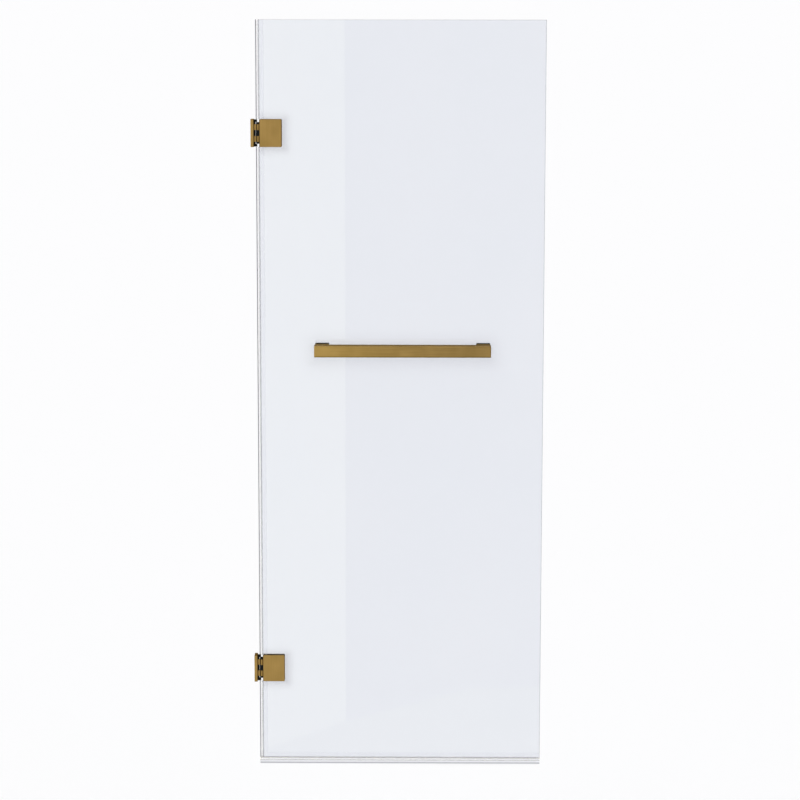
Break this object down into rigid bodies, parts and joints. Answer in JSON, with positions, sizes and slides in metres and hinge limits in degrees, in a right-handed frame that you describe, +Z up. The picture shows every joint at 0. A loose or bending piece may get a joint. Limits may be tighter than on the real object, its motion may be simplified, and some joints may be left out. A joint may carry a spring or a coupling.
{
  "type": "bathtub door",
  "caption": "Frameless clear glass bathtub door that swings on brass wall-mount hinges, with a square brass towel bar and clear seals on its hinge and bottom edges.",
  "frame": {"origin": "middle of the lower wall plate's back face, on the wall, level with the glass's middle plane", "axes": "+X from the wall along the door, +Y from the room into the tub, +Z up"},
  "size_m": [0.5752, 0.0656, 1.4933],
  "materials": {
    "satin_brass": "satin brushed",
    "black_steel": "black oxide",
    "stainless_steel": "turned",
    "black_nylon": "moulded",
    "white_nylon": "moulded",
    "gasket_rubber": "cut sheet",
    "clear_vinyl": "clear extruded",
    "clear_glass": "polished tempered"
  },
  "bodies": {
    "wall_side": {"lower_wall_plate": "satin_brass", "lower_wall_buffers": "black_nylon", "lower_pivot_pin": "stainless_steel", "lower_pin_caps": "black_nylon", "upper_wall_plate": "satin_brass", "upper_wall_buffers": "black_nylon", "upper_pivot_pin": "stainless_steel", "upper_pin_caps": "black_nylon", "pin_grub_screws": "stainless_steel"},
    "door": {"lower_front_clamp_plate": "satin_brass", "lower_rear_clamp_plate": "satin_brass", "lower_hinge_body": "black_steel", "lower_knuckle_bushes": "black_nylon", "lower_detent_spring": "stainless_steel", "lower_front_clamp_gasket": "gasket_rubber", "lower_rear_clamp_gasket": "gasket_rubber", "upper_front_clamp_plate": "satin_brass", "upper_rear_clamp_plate": "satin_brass", "upper_hinge_body": "black_steel", "upper_knuckle_bushes": "black_nylon", "upper_detent_spring": "stainless_steel", "upper_front_clamp_gasket": "gasket_rubber", "upper_rear_clamp_gasket": "gasket_rubber", "clamp_screws": "stainless_steel", "glass_panel": "clear_glass", "towel_rail": "satin_brass", "rail_end_caps": "satin_brass", "left_post": "satin_brass", "right_post": "satin_brass", "left_post_spacer": "black_nylon", "right_post_spacer": "black_nylon", "handle_studs": "stainless_steel", "handle_bushes": "white_nylon", "post_gaskets": "clear_vinyl", "rear_gaskets": "clear_vinyl", "rear_caps": "satin_brass", "upper_side_seal": "clear_vinyl", "middle_side_seal": "clear_vinyl", "lower_side_seal": "clear_vinyl", "bottom_sweep": "clear_vinyl"}
  },
  "joints": [
    {"name": "door_swing", "type": "hinge", "parent": "wall_side", "child": "door", "pos_m": [0.0144, 0, 0], "axis": [0, 0, 1], "range_deg": [-90, 90], "deforming": ["lower_detent_spring", "upper_detent_spring"]}
  ]
}
